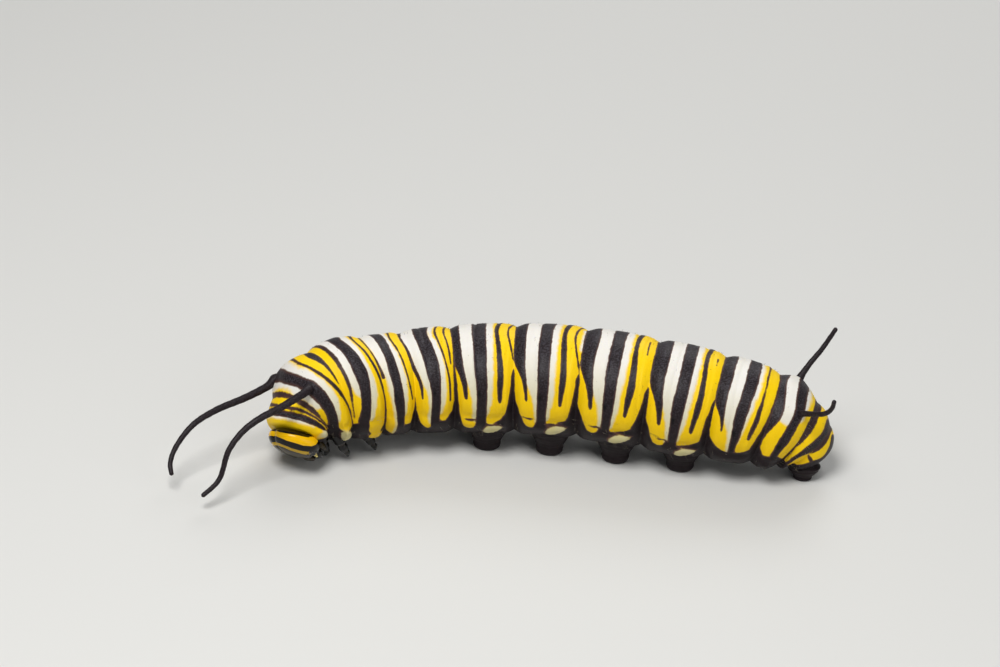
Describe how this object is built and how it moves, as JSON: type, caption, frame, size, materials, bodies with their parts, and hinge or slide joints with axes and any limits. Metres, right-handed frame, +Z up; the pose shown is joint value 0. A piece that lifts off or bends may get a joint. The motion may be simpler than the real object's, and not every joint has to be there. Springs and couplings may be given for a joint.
{
  "type": "monarch larva",
  "caption": "Still life-size monarch larva, banded black, white and yellow, walking with its head turned to one side and its soft black horns spread.",
  "frame": {"origin": "middle of the box on the ground plane, under the middle of the body", "axes": "+X towards the tail, +Y to the side that the head turns away from, +Z up"},
  "size_m": [0.0458, 0.0168, 0.0096],
  "materials": {
    "banded_skin": "soft matt skin, banded yellow, white and black",
    "leg_skin": "soft black skin with a pale plate",
    "filament_skin": "soft black skin",
    "leg_shell": "hard glossy black shell",
    "head_shell": "hard glossy black shell with yellow bands",
    "mouth_shell": "hard amber shell"
  },
  "bodies": {
    "root": {"abdomen_1": "banded_skin", "abdomen_10": "banded_skin", "abdomen_2": "banded_skin", "abdomen_3": "banded_skin", "abdomen_4": "banded_skin", "abdomen_5": "banded_skin", "abdomen_6": "banded_skin", "abdomen_7": "banded_skin", "abdomen_8": "banded_skin", "abdomen_9": "banded_skin", "antenna_left": "mouth_shell", "antenna_right": "mouth_shell", "filament_front_left": "filament_skin", "filament_front_right": "filament_skin", "filament_rear_left": "filament_skin", "filament_rear_right": "filament_skin", "head": "head_shell", "labium": "mouth_shell", "labrum": "mouth_shell", "leg_1_left": "leg_shell", "leg_1_right": "leg_shell", "leg_2_left": "leg_shell", "leg_2_right": "leg_shell", "leg_3_left": "leg_shell", "leg_3_right": "leg_shell", "mandible_left": "head_shell", "mandible_right": "head_shell", "maxilla_left": "mouth_shell", "maxilla_right": "mouth_shell", "proleg_10_left": "leg_skin", "proleg_10_right": "leg_skin", "proleg_3_left": "leg_skin", "proleg_3_right": "leg_skin", "proleg_4_left": "leg_skin", "proleg_4_right": "leg_skin", "proleg_5_left": "leg_skin", "proleg_5_right": "leg_skin", "proleg_6_left": "leg_skin", "proleg_6_right": "leg_skin", "thorax_1": "banded_skin", "thorax_2": "banded_skin", "thorax_3": "banded_skin"}
  },
  "joints": []
}
